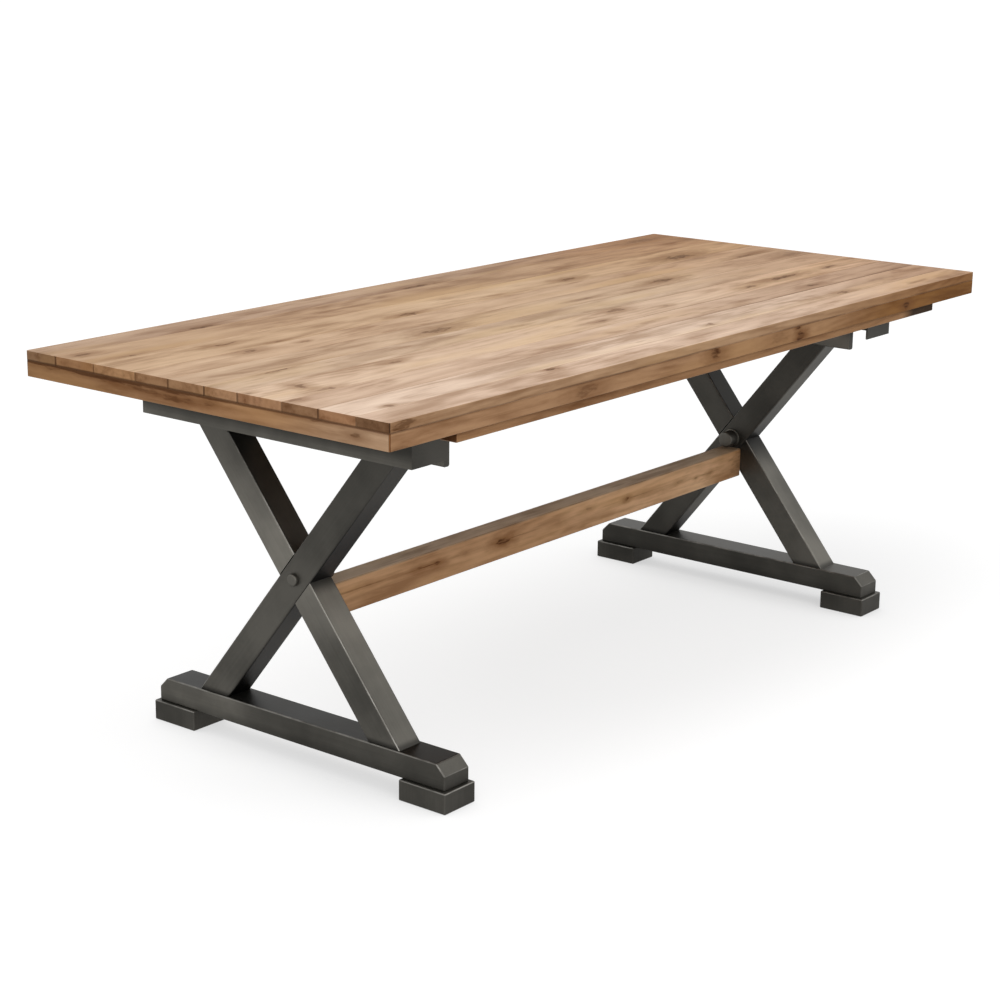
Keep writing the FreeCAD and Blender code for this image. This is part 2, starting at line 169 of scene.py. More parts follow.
# Knots and smudges of the planks, seen from above, from the back plank to the front one:
# place along, place across, half length, half width (all in millimetres) and strength in percent
PLANK_KNOTS = {
    1: (
        (-637, 367, 38, 9, 60), (-362, 361, 34, 8, 30), (-6, 364, 64, 12, 65),
        (500, 371, 48, 10, 45), (875, 394, 85, 18, 48),
    ),
    2: (
        (-960, 331, 22, 9, 55), (-912, 262, 34, 7, 35), (-150, 334, 16, 6, 45),
        (180, 300, 40, 6, 20), (335, 248, 55, 8, 32), (720, 252, 65, 10, 40),
    ),
    3: (
        (-725, 212, 42, 8, 60), (-631, 157, 18, 5, 45), (-262, 164, 40, 10, 65),
        (300, 181, 36, 12, 70), (725, 178, 62, 22, 70),
    ),
    4: (
        (-735, 134, 26, 17, 50), (-605, 121, 12, 5, 55), (-456, 142, 28, 12, 35),
        (730, 132, 40, 12, 35), (850, 72, 50, 14, 55),
    ),
    5: (
        (-356, 7, 50, 17, 60), (125, 6, 38, 5, 50), (419, 18, 50, 15, 60), (950, 10, 50, 26, 40),
    ),
    6: (
        (-825, -27, 38, 7, 55), (-137, -31, 60, 7, 25), (-640, -75, 50, 5, 20),
    ),
    7: (
        (-990, -119, 12, 6, 50), (-895, -146, 14, 22, 58), (-887, -191, 30, 7, 50),
        (-634, -132, 22, 7, 60), (-62, -171, 28, 7, 60), (56, -119, 32, 14, 60),
        (169, -166, 16, 6, 45), (487, -169, 30, 9, 60), (637, -157, 80, 11, 70),
        (837, -156, 30, 9, 60),
    ),
    8: (
        (-975, -214, 16, 8, 50), (-350, -260, 24, 6, 30), (594, -259, 30, 8, 62),
        (500, -215, 50, 18, 26), (190, -283, 60, 4, 32), (520, -283, 75, 4, 42),
        (860, -282, 90, 4, 40),
    ),
    9: (
        (-910, -354, 10, 6, 50), (50, -350, 16, 6, 50), (470, -355, 90, 4, 30),
        (556, -355, 32, 8, 65), (760, -328, 75, 10, 36),
    ),
    10: (
        (-500, -376, 20, 11, 72), (-360, -405, 30, 6, 25),
    ),
}

# Small dark pips in those knots, by plank: place along, place across and strength, in the same units,
# and the half length and half width of all of them
PLANK_PIPS = {
    1: ((-633, 358, 80),),
    2: ((-906, 257, 50),),
    3: ((-252, 158, 75), (733, 174, 70)),
    4: ((-731, 129, 65),),
    6: ((-808, -26, 60),),
    7: ((-868, -194, 55), (496, -170, 60), (834, -156, 80)),
    8: ((593, -257, 85),),
    9: ((-908, -359, 50), (57, -349, 55), (564, -358, 90)),
}
PIP_SIZE = (10, 9)

# Knots on the front plank's outer side, in the same units: place along, height, half length,
# half height, strength
PLANK_FRONT_KNOTS = (
    (-970, 751, 40, 12, 58), (-983, 746.5, 16, 1.2, 90),
)

# Tone of each plank's face against the common timber: red, green and blue factors; the paler, greyer front
# planks carry a painted sheen besides their own tone
PLANK_TINTS = (
    (0.85, 0.80, 0.78), (0.84, 0.76, 0.67), (1.01, 0.96, 0.87), (0.98, 0.93, 0.87),
    (0.96, 0.93, 0.89), (1.04, 1.05, 1.06), (1.10, 1.10, 1.11), (1.01, 0.99, 1.01),
    (1.24, 1.31, 1.44), (1.15, 1.17, 1.25),
)

# Painted shade that each plank's face takes towards its far end, where less light falls
PLANK_FAR_SHADES = (
    (0.93, 0.75, 0.57), (1.03, 0.93, 0.83), (0.98, 0.89, 0.79), (1.03, 0.96, 0.90),
    (1.02, 0.95, 0.91), (0.94, 0.84, 0.76), (1.10, 1.02, 0.95), (0.92, 0.85, 0.79),
    (0.75, 0.63, 0.54), (0.92, 0.82, 0.70),
)

# Tone of each plank's end grain
PLANK_END_TONES = (
    (0.95, 1.00, 1.05), (1.12, 1.12, 1.15), (1.12, 1.12, 1.15), (0.93, 0.93, 0.96),
    (0.98, 0.98, 1.00), (1.04, 1.00, 1.00), (0.88, 0.82, 0.82), (0.72, 0.70, 0.68),
    (0.73, 0.62, 0.54), (0.42, 0.38, 0.34),
)

# Dirt in the joints between the planks, from the back one: strength on top, and on the end grain
PLANK_JOINTS = (
    (0.10, 0.90), (0.10, 0.20), (0.15, 0.30), (0.20, 0.80), (0.20, 1.00), (0.25, 0.80),
    (0.40, 0.30), (0.75, 0.90), (0.30, 0.35),
)

# Knots of the frame boards that show, in the same units. Front board: place along, height,
# half length, half height, strength. Left end board: place across, height, half width,
# half height, strength.
FRAME_KNOTS = {
    "long_frame": (
        (-475, 729, 40, 14, 46), (-62, 731, 24, 14, 62), (-58, 734, 10, 8, 80),
        (165, 726, 40, 14, 34), (238, 738, 10, 4, 80), (250, 722, 18, 10, 85),
        (686, 726, 18, 9, 80), (-975, 712, 30, 6, 40),
    ),
    "end_frame": (
        (370, 738, 50, 5, 50), (225, 737, 60, 5, 50), (130, 732, 60, 7, 50), (45, 727, 60, 6, 52),
        (-32, 730, 18, 7, 48), (-290, 739.5, 60, 2.5, 50), (-368, 728, 14, 6, 52),
    ),
}

# What is particular to each kind of board
# For the planks: painted shade on the sides, darker than the tops and more so towards the far end, and a
# painted shade down the rounded corners
PLANK_TIMBER = {
    "side_shade": (0.90, 0.77, 0.60),
    "far_side_shade": (0.63, 0.48, 0.31),
    "corner_shade": (0.30, 0.22, 0.12),
}
FRAME_TIMBER = {
    # The front board is painted darker towards its far end, a painted shade
    "long_frame": {
        "tint": (0.89, 0.71, 0.54),
        "heart_depth": 0.07,
        "far_shade": (0.66, 0.54, 0.32),
        "far_reach": (0.28, 0.68),
    },
    # The end board is painted lighter and greyer towards the near corner, a painted light
    "end_frame": {
        "tint": (0.94, 0.72, 0.52),
        "heart_depth": 0.06,
        "far_side_shade": (1.06, 1.22, 1.50),
        "far_axis": CROSSWISE,
        "far_reach": (-0.12, -0.38),
    },
}
# The battens' ends are painted dark, and their far ends near black, a painted shadow under the table top
BATTEN_TIMBER = {
    "tint": (0.84, 0.64, 0.45),
    "end_tone": (0.3, 0.3, 0.3),
    "far_shade": (0.14, 0.16, 0.20),
    "far_reach": (0.68, 0.74),
}
BEARER_TIMBER = {"tint": (0.95, 0.93, 0.90)}
# The stretcher's top is painted greyer and darker than its front, a painted shade, and its front is lighter
# from the middle on
STRETCHER_TIMBER = {
    "tint": (1.29, 1.10, 0.86),
    "heart_depth": 0.03,
    "top_shade": (0.95, 1.26, 1.75),
    "side_shade": (0.93, 0.89, 0.87),
    "far_side_shade": (1.16, 1.18, 1.22),
    "far_reach": (-0.12, 0.10),
}

# Steel of the legs. Tones, all painted light and shade by piece and by facing: faces across the table's
# length, other flanks, level tops.
# Fades, painted gradients of light and shade: an axis, a start and an end on it, and the factors that the
# faces' or the flanks' tone takes there.
# Painted shade where the parts meet and at the feet: heights, each with the reach where it is deepest,
# where it ends, and the factors that the flanks' tone and the faces' tone take in it.
LEG_FOOT_PAINTED_SHADE = (0.088, 0.002, 0.012, 0.35, 0.35)
LONG_FOOT_PAINTED_SHADE = (0.088, 0.015, 0.080, 0.12, 1.0)
LEG_STEEL = {
    ("upper", "left"): {"tones": (2.00, 0.90, 0.90), "fade": ("Z", 0.40, 0.60, 1.22, 0.68)},
    ("long", "left"): {
        "tones": (1.08, 0.56, 0.50),
        "fade": ("Z", 0.18, 0.60, 1.24, 0.75),
        "painted_shade": (LEG_FOOT_PAINTED_SHADE, LONG_FOOT_PAINTED_SHADE, (0.395, 0.03, 0.17, 0.05, 1.0)),
    },
    ("lower", "left"): {
        "tones": (1.40, 1.40, 1.40),
        "fade": ("Z", 0.22, 0.33, 0.90, 1.45),
        "flank_fade": ("Z", 0.10, 0.33, 0.78, 1.40),
        "painted_shade": (LEG_FOOT_PAINTED_SHADE, (0.358, 0.0, 0.025, 0.20, 1.0)),
    },
    ("upper", "right"): {"tones": (0.84, 0.34, 0.90)},
    ("long", "right"): {
        "tones": (0.78, 1.42, 1.10),
        "painted_shade": (LEG_FOOT_PAINTED_SHADE, LONG_FOOT_PAINTED_SHADE, (0.358, 0.0, 0.05, 0.10, 1.0)),
    },
    ("lower", "right"): {
        "tones": (1.20, 1.62, 1.10),
        "painted_shade": (LEG_FOOT_PAINTED_SHADE, (0.358, 0.0, 0.07, 0.10, 0.28)),
    },
}

# Steel of the foot beams and foot blocks, in the same terms; their tones, fade and shade are painted light
# and shade too
BEAM_PAINTED_SHADE = (0.040, 0.0, 0.024, 0.70, 0.70)
BEAM_STEEL = {
    "left": {"tones": (1.00, 1.10, 0.28), "fade": ("Y", 0.04, 0.20, 1.02, 2.10), "painted_shade": (BEAM_PAINTED_SHADE,)},
    "right": {"tones": (0.80, 1.00, 0.90), "painted_shade": (BEAM_PAINTED_SHADE,)},
}
BLOCK_STEEL = {
    "left": {"tones": (1.08, 0.95, 1.00)},
    "right": {"tones": (0.70, 0.76, 0.85)},
}

# Steel of the rails, which darken towards the top in a painted shadow under the table top, and of the
# bolts, in the same terms; the bolts' tones are painted light and shade too
RAIL_STEEL = {"tones": (1.35, 0.86, 1.00), "upright": False, "fade": ("Z", 0.628, 0.662, 1.40, 0.42)}
BOLT_STEEL = {"tones": (1.4, 0.9, 1.0)}

# Knots along the front of the stretcher, in the units of the other knots: place along, height,
# half length, half height, strength. The broad one at the right end is a painted shadow cast by the far
# legs.
STRETCHER_KNOTS = (
    (-590, 311, 20, 4, 35), (-440, 309, 16, 4, 45), (-385, 307, 16, 5, 75), (-304, 309, 10, 4, 35),
    (-181, 307, 26, 8, 85), (-9, 311, 22, 5, 30), (110, 313, 16, 5, 40), (251, 306, 12, 5, 70),
    (330, 307, 26, 4, 25), (458, 305, 18, 4, 40), (520, 301, 8, 3, 45), (577, 302, 12, 4, 55),
    (700, 303, 45, 45, 42), (-610, 310.5, 60, 1.2, 55), (-420, 308, 55, 1.5, 60),
    (-150, 307.5, 40, 1.2, 50), (300, 306.5, 70, 1, 42), (560, 302.5, 60, 1, 42),
)


def color_setting(name, description, default):
    """A colour that a user may change, in linear light."""
    return bpy.props.FloatVectorProperty(
        name=name, description=description, default=default, size=3, min=0, max=1, subtype="COLOR"
    )


def length_setting(name, description, default):
    """A size that a user may change, in metres."""
    return bpy.props.FloatProperty(
        name=name, description=description, default=default, min=0, unit="LENGTH", precision=4
    )


def angle_setting(name, description, degrees):
    """An angle that a user may change, given in degrees."""
    default = radians(degrees)
    return bpy.props.FloatProperty(name=name, description=description, default=default, subtype="ANGLE")


def power_setting(name, description, default):
    """A lamp's power that a user may change, in watts."""
    return bpy.props.FloatProperty(
        name=name, description=description, default=default, min=0, subtype="POWER"
    )


class TimberLook(bpy.types.PropertyGroup):
    """Colours of the oiled timber."""

    # The pale grain also gives the painted highlight on rubbed edges
    light: color_setting("Light grain", "Pale streaks between the growth rings", (0.70, 0.52, 0.37))
    middle: color_setting("Middle grain", "Common colour of the boards", (0.575, 0.405, 0.280))
    dark: color_setting("Dark grain", "Late wood of the growth rings", (0.370, 0.235, 0.145))
    honey: color_setting("Honey", "Yellow patches in the boards", (0.640, 0.445, 0.260))
    smudge: color_setting("Smudges", "Brown clouds in the boards", (0.265, 0.142, 0.068))
    # The knots' colour also gives the painted shade down the corners
    knot: color_setting("Knots", "Hearts of the knots, and dirt in the joints", (0.110, 0.051, 0.022))
    end_shade: color_setting("End grain", "Shade that the cut ends take", (0.90, 0.72, 0.54))


class SteelLook(bpy.types.PropertyGroup):
    """Colours of the steel."""

    dark: color_setting("Dark gunmetal", "Darker clouds of the blackened steel", (0.062, 0.059, 0.051))
    light: color_setting("Light gunmetal", "Paler brushed streaks of the steel", (0.114, 0.108, 0.094))
    worn: color_setting("Worn edge", "Bare steel where edges are rubbed", (0.26, 0.25, 0.23))
    zinc: color_setting("Zinc", "Plated screws", (0.52, 0.53, 0.54))


class TableSizes(bpy.types.PropertyGroup):
    """Roundings and small shapes that the looks add to the frame."""

    plank_arris: length_setting("Plank edge", "Rounding of the planks' edges", 0.0009)
    top_corner: length_setting("Top corner", "Rounding of the table top's corners", 0.005)
    frame_arris: length_setting("Frame edge", "Rounding of the frame boards' outer edges", 0.0012)
    leg_corner: length_setting("Leg corner", "Rounding along the leg tubes", 0.004)
    beam_clip: length_setting("Beam clip", "Slanted cut at the top ends of the foot beams", 0.020)
    foot_edge: length_setting("Foot edge", "Rounding of the foot beams and blocks", 0.0025)
    bolt_crown: length_setting("Bolt head", "Rounding of the bolt heads", 0.0035)
    bolt_shank: length_setting("Bolt", "Radius of the bolts", 0.006)
    washer_edge: length_setting("Washer edge", "Rounding of the washers", 0.0010)
    washer_thickness: length_setting("Washer", "Thickness of the washers", 0.004)
    nut_edge: length_setting("Nut edge", "Rounding of the closed nuts", 0.0035)
    nut_length: length_setting("Nut", "Length of the closed nuts", 0.027)


class StageLook(bpy.types.PropertyGroup):
    """Camera, lights and floor."""

    camera_place: bpy.props.FloatVectorProperty(
        name="Camera", description="Where the camera stands", default=(-3.522, -2.663, 1.547), unit="LENGTH"
    )
    camera_turn: angle_setting("Azimuth", "Turn of the camera round the table", -51.59)
    camera_rise: angle_setting("Elevation", "How far the camera looks down", 15.17)
    camera_roll: angle_setting("Roll", "Tilt of the picture", 0.66)
    lens: bpy.props.FloatProperty(
        name="Lens", description="Focal length in millimetres", default=78.8, min=1, unit="CAMERA"
    )
    floor: color_setting("Floor", "Colour of the floor", (0.55, 0.55, 0.55))
    ambient: bpy.props.FloatProperty(
        name="Ambient", description="Strength of the light from all round", default=0.36, min=0
    )
    top_power: power_setting("Top light", "Power of the softbox over the table", 36)
    left_power: power_setting("Left light", "Power of the softbox at the front left", 20)
    front_power: power_setting("Front light", "Power of the softbox at the front right", 15)


def arithmetic(operation, swapped=False):
    """A method of a socket that adds a Math node."""
    def method(self, *others):
        values = (*others, self) if swapped else (self, *others)
        return self.shader.math(operation, *values)

    return method


class Socket:
    """One output of a shader node; arithmetic on it adds Math nodes."""

    __add__, __radd__ = arithmetic("ADD"), arithmetic("ADD", swapped=True)
    __sub__, __rsub__ = arithmetic("SUBTRACT"), arithmetic("SUBTRACT", swapped=True)
    __mul__, __rmul__ = arithmetic("MULTIPLY"), arithmetic("MULTIPLY", swapped=True)
    __pow__, __rpow__ = arithmetic("POWER"), arithmetic("POWER", swapped=True)
    __abs__ = arithmetic("ABSOLUTE")

    def __init__(self, shader, output):
        self.shader = shader
        self.output = output

    def sibling(self, name):
        """Another output of the same node."""
        return Socket(self.shader, self.output.node.outputs[name])


class Shader:
    """The nodes of one finish."""

    def __init__(self, owner):
        owner.use_nodes = True
        self.tree = owner.node_tree
        self.tree.nodes.clear()

    def node(self, kind, settings=None, sockets=None, output=0):
        """Add a node: its settings first, then the values or links of its sockets."""
        made = self.tree.nodes.new(kind)
        for key, value in (settings or {}).items():
            if key == "stops":
                self.set_stops(made.color_ramp, value)
            else:
                setattr(made, key, value)
        for key, value in (sockets or {}).items():
            if isinstance(value, Socket):
                self.tree.links.new(value.output, made.inputs[key])
            else:
                made.inputs[key].default_value = value
        return Socket(self, made.outputs[output]) if made.outputs else None

    def set_stops(self, ramp, stops):
        """Put the stops on a colour ramp, each a place and a colour."""
        while len(ramp.elements) < len(stops):
            ramp.elements.new(1)
        for element, (place, shade) in zip(ramp.elements, stops):
            element.position = place
            element.color = (*shade, 1)

    def math(self, operation, *values):
        return self.node("ShaderNodeMath", {"operation": operation}, dict(enumerate(values)))

    def step(self, value, start, end, low=0.0, high=1.0):
        """A smooth step of a value, from low at start to high at end."""
        sockets = {"Value": value, "From Min": start, "From Max": end, "To Min": low, "To Max": high}
        return self.node("ShaderNodeMapRange", {"interpolation_type": "SMOOTHSTEP"}, sockets)

    def noise(self, vector, detail, roughness=0.5, output="Fac"):
        sockets = {"Vector": vector, "Scale": 1.0, "Detail": detail, "Roughness": roughness}
        return self.node("ShaderNodeTexNoise", {}, sockets, output)

    def blend(self, first, second, factor, blend_type="MIX"):
        """Mix two colours."""
        settings = {"data_type": "RGBA", "blend_type": blend_type}
        sockets = {0: factor, 6: shade_of(first), 7: shade_of(second)}
        return self.node("ShaderNodeMix", settings, sockets, 2)

    def ramp(self, value, stops):
        return self.node("ShaderNodeValToRGB", {"stops": stops}, {"Fac": value}, "Color")

    def split(self, vector):
        """The three parts of a vector."""
        parts = self.node("ShaderNodeSeparateXYZ", {}, {"Vector": vector}, "X")
        return parts, parts.sibling("Y"), parts.sibling("Z")

    def parts(self, vector):
        """The three parts of a vector by the letters of their axes."""
        return dict(zip(AXES, self.split(vector)))

    def length(self, vector):
        return self.node("ShaderNodeVectorMath", {"operation": "LENGTH"}, {0: vector}, "Value")

    def scaled(self, vector, factor):
        """A vector times one factor."""
        return self.node("ShaderNodeMapping", {}, {"Vector": vector, "Scale": (factor, factor, factor)})

    def local(self, vector, center, sizes, lean=0.0):
        """A place seen from a centre, in sizes of its own, leaning about the table's length."""
        sockets = {"Vector": vector, "Location": center, "Rotation": (lean, 0, 0), "Scale": sizes}
        return self.node("ShaderNodeMapping", {"vector_type": "TEXTURE"}, sockets)

    def bump(self, height, strength, distance):
        sockets = {"Strength": strength, "Distance": distance, "Height": height}
        return self.node("ShaderNodeBump", {}, sockets, "Normal")

    def surface(self, sockets):
        """End the finish in one Principled shader."""
        made = self.node("ShaderNodeBsdfPrincipled", {}, sockets)
        self.node("ShaderNodeOutputMaterial", {}, {"Surface": made})


def shade_of(color):
    """A colour as a node takes it."""
    return color if isinstance(color, Socket) else (*color, 1)


def tinted(color, tint):
    """A colour times a tint, as plain numbers."""
    return tuple(part * factor for part, factor in zip(color, tint))


def new_finish(name):
    """A new material, its shader and the object coordinates in it."""
    material = bpy.data.materials.new(name)
    shader = Shader(material)
    return material, shader, shader.node("ShaderNodeTexCoord", output="Object")


@dataclass
class Board:
    """One piece of timber: its CAD node, the way its grain runs, and what is particular to it."""

    node: str
    grain: str
    seed: int
    tint: tuple
    knots: tuple = ()
    pips: tuple = ()
    seams: tuple = ()
    crack: tuple = ()
    heart_depth: float = 0.05
    end_tone: tuple = WHITE
    corner_shade: tuple = WHITE
    side_shade: tuple = WHITE
    far_side_shade: tuple = ()
    top_shade: tuple = WHITE
    far_shade: tuple = WHITE
    far_axis: str = LENGTHWISE
    far_reach: tuple = (0.1, 0.95)


def grain_noise(shader, place, board, name, output="Fac"):
    """One of the timber's noises, squeezed so that it runs with the board's grain."""
    along, across, layer, detail, roughness = GRAIN_NOISES[name]
    scale = (along, across, across) if board.grain == LENGTHWISE else (across, along, across)
    shift = (board.seed * 3.7 + layer, board.seed * 1.9 - layer, board.seed * 5.3 + layer * 2)
    vector = shader.node("ShaderNodeMapping", {}, {"Vector": place, "Location": shift, "Scale": scale})
    return shader.noise(vector, detail, roughness, output)


def growth_rings(shader, place, board, streaks):
    """Waves round the heart of the log, which wanders along the board."""
    x, y, z = shader.split(place)
    low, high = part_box(board.node)
    middle = (low + high) / 2
    side = y - middle.y if board.grain == LENGTHWISE else x - middle.x
    drift_across, drift_up, _ = shader.split(grain_noise(shader, place, board, "drift", "Color"))
    side = side + (drift_across - 0.5) * HEART_DRIFT_ACROSS
    rise = z - middle.z + board.heart_depth + (drift_up - 0.5) * HEART_DRIFT_UP
    radius = (side * side + rise * rise) ** 0.5
    return shader.math("SINE", radius * (2 * pi * RINGS_PER_METRE) + streaks * RING_WAVER)


def knot_reach(shader, place, ragged, center, radii):
    """Distance from the middle of a knot in its own half sizes, with a ragged outline."""
    sockets = {0: ragged, 1: KNOT_RAGGED, 2: shader.local(place, center, radii)}
    return shader.length(shader.node("ShaderNodeVectorMath", {"operation": "MULTIPLY_ADD"}, sockets))


def knot_masks(shader, place, board):
    """Ragged dark hearts and pips at the board's knots, and the soft clouds round them."""
    wobble = {0: grain_noise(shader, place, board, "wobble", "Color"), 1: (0.5, 0.5, 0.5)}
    ragged = shader.node("ShaderNodeVectorMath", {"operation": "SUBTRACT"}, wobble)
    heart, cloud = 0.0, 0.0
    for center, radii, strength in board.knots:
        reach = knot_reach(shader, place, ragged, center, radii)
        depth = min(max(strength * HEART_GAIN - HEART_LOSS, 0), 1)
        heart = shader.math("MAXIMUM", heart, shader.step(reach, *HEART_EDGE, 0.0, depth))
        thickness = min(strength * CLOUD_GAIN, 1)
        cloud = shader.math("MAXIMUM", cloud, shader.step(reach, *CLOUD_EDGE, 0.0, thickness))
    flecks = grain_noise(shader, place, board, "flecks")
    heart = heart * shader.step(flecks, 0.42, 0.56, 0.40, 1.0)
    for center, radii, strength in board.pips:
        reach = knot_reach(shader, place, ragged, center, radii)
        heart = shader.math("MAXIMUM", heart, shader.step(reach, *PIP_EDGE, 0.0, strength))
    return heart, cloud


def seam_mask(shader, place, board, on_end):
    """Dirt in the joints between a plank and its neighbours."""
    x, y, _ = shader.split(place)
    patchy = shader.step(grain_noise(shader, place, board, "seams"), 0.42, 0.60)
    along = shader.step(x, -0.4, 0.4, 0.3, 1.0) * (patchy * 0.5 + 0.5)
    dirt_and_shade = 0.0
    for edge, top_strength, end_strength in board.seams:
        line = shader.step(abs(y - edge), *SEAM_EDGE)
        strength = shader.math("MAXIMUM", along * top_strength, on_end * end_strength)
        dirt_and_shade = shader.math("MAXIMUM", dirt_and_shade, line * strength)
    return dirt_and_shade


def crack_mask(shader, place, level, spill, across):
    """Dirt in the crack between the planks and the frame, which spills in places on the short ends."""
    x, y, z = shader.split(place)
    spread = shader.node("ShaderNodeMapping", {}, {"Vector": place, "Scale": (6, 6, 60)})
    patchy = shader.step(shader.noise(spread, 4.0, 0.6), 0.40, 0.60)
    thickness = patchy * across * shader.step(y, -0.20, 0.05, 0.1, 1.0) * spill
    crack = shader.step(abs(z - level) - thickness, *CRACK_EDGE)
    near = shader.step(x, -1.0, -0.4, 0.55, 0.0)
    front_depth = shader.math("MAXIMUM", patchy * 0.45 + 0.1, near)
    return crack * shader.math("MAXIMUM", front_depth, across * 0.80)


def grain_color(shader, place, board, look, rings, streaks, far):
    """Colour of the clear timber: pale and dark patches, honey and brown clouds that run with the grain,
    and a painted shade towards the far end.
    """
    names = ("figure", "patches", "broad", "honey", "clouds")
    figure, patches, broad, honey, clouds = (grain_noise(shader, place, board, name) for name in names)
    tone = streaks * 0.58 + figure * 0.6 + patches * 1.0 + broad * 1.0 + rings * 0.07 - 1.09
    color = shader.ramp(tone, [
        (0.15, tinted(look.dark, board.tint)),
        (0.50, tinted(look.middle, board.tint)),
        (0.85, tinted(look.light, board.tint)),
    ])
    color = shader.blend(color, tinted(look.honey, board.tint), shader.step(honey, 0.50, 0.72, 0.0, 0.6))
    # More brown clouds towards the far end, a little of the painted shade there
    smudged = shader.step(clouds + far * 0.03, 0.55, 0.76, 0.0, 0.65)
    color = shader.blend(color, tinted(look.smudge, board.tint), smudged)
    # Painted shade towards the far end
    return shader.blend(color, board.far_shade, far, "MULTIPLY")


def turned_color(shader, place, board, look, color, far):
    """Colour of the timber by the way its surface turns: cut ends, sides and tops with painted shade,
    rubbed edges with a painted highlight, painted shade down the corners, dirty joints.
    """
    turn_x, turn_y, turn_z = (abs(part) for part in shader.split(place.sibling("Normal")))
    end_turn, side_turn = (turn_x, turn_y) if board.grain == LENGTHWISE else (turn_y, turn_x)
    on_end, on_side, on_top = (shader.step(turn, 0.6, 0.9) for turn in (end_turn, side_turn, turn_z))
    end_shade = tinted(look.end_shade, board.end_tone)
    # Painted shade on the sides and on the tops, lighter or darker towards the far end
    side_shade = shader.blend(board.side_shade, board.far_side_shade or board.side_shade, far)
    for shade, mask in ((end_shade, on_end), (side_shade, on_side), (board.top_shade, on_top)):
        color = shader.blend(color, shade, mask, "MULTIPLY")
    # Rubbed arrises along the tops: wear and a painted highlight
    flank_turn = shader.math("MAXIMUM", turn_x, turn_y)
    rubbed_and_highlight = shader.step(shader.math("MINIMUM", turn_z, flank_turn), 0.3, 0.65, 0.0, 0.35)
    color = shader.blend(color, look.light, rubbed_and_highlight)
    # Dark of knots, dirt and painted shade
    dirt_and_shade = tinted(look.knot, board.tint)
    # Dark along the upright corners: the frame's mitres, and painted shade on the planks and the other
    # boards
    corner = shader.step(shader.math("MINIMUM", turn_x, turn_y), 0.40, 0.65, 0.0, 0.90)
    color = shader.blend(color, tinted(dirt_and_shade, board.corner_shade), corner)
    if board.seams:
        color = shader.blend(color, dirt_and_shade, seam_mask(shader, place, board, on_end))
    if board.crack:
        upright = shader.step(turn_z, 0.95, 0.85)
        across = shader.step(turn_x, 0.3, 0.6)
        color = shader.blend(color, dirt_and_shade, crack_mask(shader, place, *board.crack, across) * upright)
    return color


def timber(name, look, board):
    """Oiled timber: growth rings round a wandering heart, streaks, smudges, knots and rubbed edges, with
    painted light and shade.
    """
    material, shader, place = new_finish(name)
    streaks = grain_noise(shader, place, board, "streaks")
    fibres = grain_noise(shader, place, board, "fibres")
    rings = growth_rings(shader, place, board, streaks)
    far = shader.step(shader.parts(place)[board.far_axis], *board.far_reach)
    color = grain_color(shader, place, board, look, rings, streaks, far)
    dents = rings * 0.15 + fibres * 0.5
    if board.knots:
        heart, cloud = knot_masks(shader, place, board)
        color = shader.blend(color, tinted(look.smudge, board.tint), cloud)
        color = shader.blend(color, tinted(look.knot, board.tint), heart)
        dents = dents - heart * 0.3
    shader.surface({
        "Base Color": turned_color(shader, place, board, look, color, far),
        "Roughness": 0.58 + streaks * 0.16,
        "Specular IOR Level": 0.08,
        "Normal": shader.bump(dents, 0.35, 0.0006),
    })
    return material


@dataclass
class Steel:
    """One piece of steel: the way it is brushed, the painted light and shade of its sides, and where
    painted shade darkens it at joints.
    """

    tones: tuple = WHITE
    lean: float = 0.0
    upright: bool = True
    fade: tuple = ()
    flank_fade: tuple = ()
    painted_shade: tuple = ()


def faded(shader, parts, tone, fade):
    """A tone that changes along an axis, where there is a fade: a painted gradient of light and shade."""
    if not fade:
        return tone
    axis, start, end, low, high = fade
    return shader.step(parts[axis], start, end, low * tone, high * tone)


def steel_tone(shader, place, turns, steel):
    """Tone of a piece of steel by the way its surface turns, its fades and its shade at joints, all painted
    light and shade.
    """
    face, flank, top = steel.tones
    parts = shader.parts(place)
    face = faded(shader, parts, face, steel.fade)
    flank = faded(shader, parts, flank, steel.flank_fade)
    # Painted shade where the parts meet and at the feet
    for height, near, far, flank_least, face_least in steel.painted_shade:
        distance = abs(parts["Z"] - height)
        flank = shader.step(distance, near, far, flank_least, 1.0) * flank
        face = shader.step(distance, near, far, face_least, 1.0) * face
    on_face = shader.step(abs(turns[0]), 0.5, 0.9)
    on_top = shader.step(turns[2], 0.85, 0.98)
    return on_face * face + on_top * top + (1 - on_face) * (1 - on_top) * flank


def gunmetal(name, look, steel, worn=False):
    """Blackened steel, brushed along the piece, in soft clouds, with painted light and shade; its worn form
    shows bare upper edges, worn and partly a painted highlight.
    """
    material, shader, place = new_finish(name)
    brush = [BRUSH_WIDTH, BRUSH_WIDTH]
    brush.insert(Z_AXIS if steel.upright else Y_AXIS, BRUSH_LENGTH)
    brushed = shader.noise(shader.local(place, (0, 0, 0), brush, steel.lean), 3.0)
    clouds = shader.noise(shader.scaled(place, 7), 4.0)
    color = shader.blend(look.dark, look.light, shader.step(clouds * 0.87 + brushed * 0.13, 0.30, 0.70))
    turns = shader.split(place.sibling("Normal"))
    tone = steel_tone(shader, place, turns, steel)
    color = shader.node("ShaderNodeVectorMath", {"operation": "SCALE"}, {"Vector": color, "Scale": tone})
    if worn:
        # Rubbed bare edges, strongest where they face up: wear and a painted highlight
        rubbed_and_highlight = shader.step(shader.noise(shader.scaled(place, 26), 3.0), 0.38, 0.62, 0.25, 0.90)
        color = shader.blend(color, look.worn, rubbed_and_highlight * shader.step(turns[2], 0.05, 0.35, 0.12, 1.0))
    shader.surface({
        "Base Color": color,
        "Metallic": 0.85,
        "Roughness": 0.34 + clouds * 0.20 + brushed * 0.06,
        "Normal": shader.bump(brushed, 0.06, 0.0003),
    })
    return material


